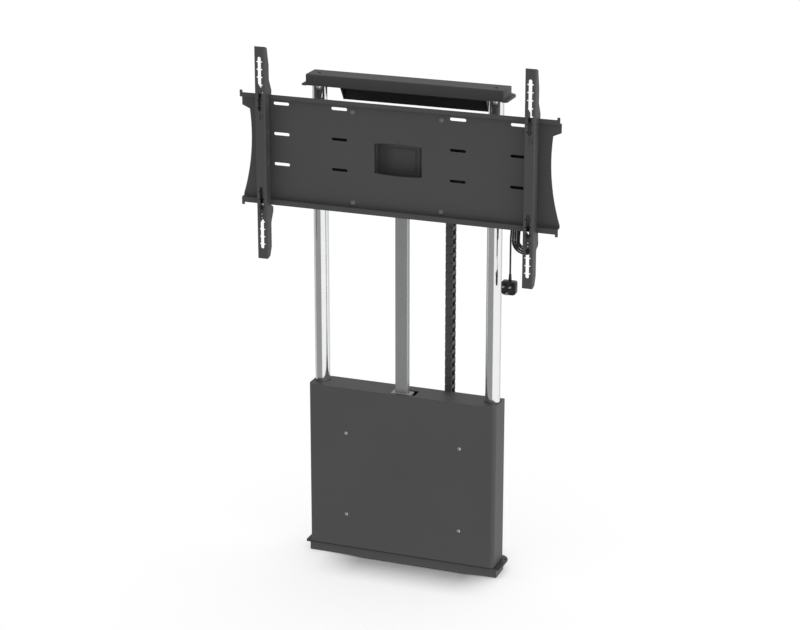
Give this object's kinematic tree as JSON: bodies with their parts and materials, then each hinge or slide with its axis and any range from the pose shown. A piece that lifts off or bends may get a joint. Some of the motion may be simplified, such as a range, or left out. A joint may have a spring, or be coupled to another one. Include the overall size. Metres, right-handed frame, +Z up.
{
  "type": "tv lift stand",
  "caption": "Motorised floor stand that lifts a flat display on a slotted carrier plate along two round guide tubes, with sliding display brackets.",
  "frame": {"origin": "on the floor, midway between the two guide tubes, in the plane of their axes", "axes": "+X to the right seen from the front, +Y back towards the wall, +Z up"},
  "size_m": [1.074, 0.2185, 1.7517],
  "materials": {
    "powder": "fine-textured powder coat, satin",
    "plate_powder": "fine-textured powder coat, satin",
    "frame_black": "black powder coat, satin",
    "cap_plastic": "moulded, fine grain",
    "chrome_tube": "polished chrome plate",
    "zinc_steel": "bright zinc plated",
    "black_screw": "blackened",
    "bright_screw": "bright zinc plated",
    "anodised": "natural anodised, satin",
    "gear_alloy": "cast, painted dark",
    "block_alloy": "black anodised",
    "motor_paint": "enamel, satin",
    "guide_plastic": "moulded, smooth",
    "bush_plastic": "moulded, low friction",
    "case_plastic": "moulded, fine grain",
    "chain_plastic": "moulded, satin",
    "lead_rubber": "smooth PVC, satin",
    "tie_plastic": "moulded, smooth",
    "plug_plastic": "moulded, satin",
    "pin_brass": "polished"
  },
  "bodies": {
    "stand": {"base_channel": "powder", "base_cap_left": "cap_plastic", "base_cap_right": "cap_plastic", "base_screws": "zinc_steel", "guide_tube_left": "chrome_tube", "guide_tube_right": "chrome_tube", "tube_plugs": "zinc_steel", "top_channel": "powder", "top_cap_left": "cap_plastic", "top_cap_right": "cap_plastic", "top_screws": "black_screw", "wall_bracket": "frame_black", "wall_bracket_screws": "black_screw", "front_cover": "powder", "cover_lid": "powder", "cover_screws": "zinc_steel", "cover_rail_left": "zinc_steel", "cover_rail_right": "zinc_steel", "cover_standoffs": "zinc_steel", "back_panel": "powder", "panel_screws": "zinc_steel", "control_box": "case_plastic", "gear_case": "gear_alloy", "drive_motor": "motor_paint", "outer_profile": "anodised", "column_guide": "guide_plastic", "chain_anchor": "zinc_steel", "chain_tail": "chain_plastic"},
    "carriage": {"carrier_plate": "plate_powder", "plate_bolts": "frame_black", "carriage_spine": "frame_black", "spine_doubler": "frame_black", "cross_beam_lower": "frame_black", "cross_beam_upper": "frame_black", "bearing_block_left": "block_alloy", "bearing_block_right": "block_alloy", "guide_bushes": "bush_plastic", "lift_profile": "anodised", "lift_head": "zinc_steel", "chain_shelf": "zinc_steel", "chain_run": "chain_plastic", "lead_hanger": "frame_black", "hanger_screws": "zinc_steel", "lead_grommet": "lead_rubber", "lead_feed": "lead_rubber", "lead_hank": "lead_rubber", "hank_tie": "tie_plastic", "lead_drop": "lead_rubber", "plug_relief": "lead_rubber", "plug_body": "plug_plastic", "plug_pins": "pin_brass"},
    "bracket_left": {"bracket_left": "plate_powder", "lock_clip_left": "frame_black", "lock_screw_left": "frame_black", "clip_pins_left": "bright_screw"},
    "bracket_right": {"bracket_right": "plate_powder", "lock_clip_right": "frame_black", "lock_screw_right": "frame_black", "clip_pins_right": "bright_screw"}
  },
  "joints": [
    {"name": "lift_slide", "type": "slide", "parent": "stand", "child": "carriage", "axis": [0, 0, 1], "range_m": [-0.5, 0], "deforming": ["chain_tail"]},
    {"name": "bracket_left_slide", "type": "slide", "parent": "carriage", "child": "bracket_left", "axis": [1, 0, 0], "range_m": [-0.058, 0.38]},
    {"name": "bracket_right_slide", "type": "slide", "parent": "carriage", "child": "bracket_right", "axis": [1, 0, 0], "range_m": [-0.38, 0.058]}
  ]
}
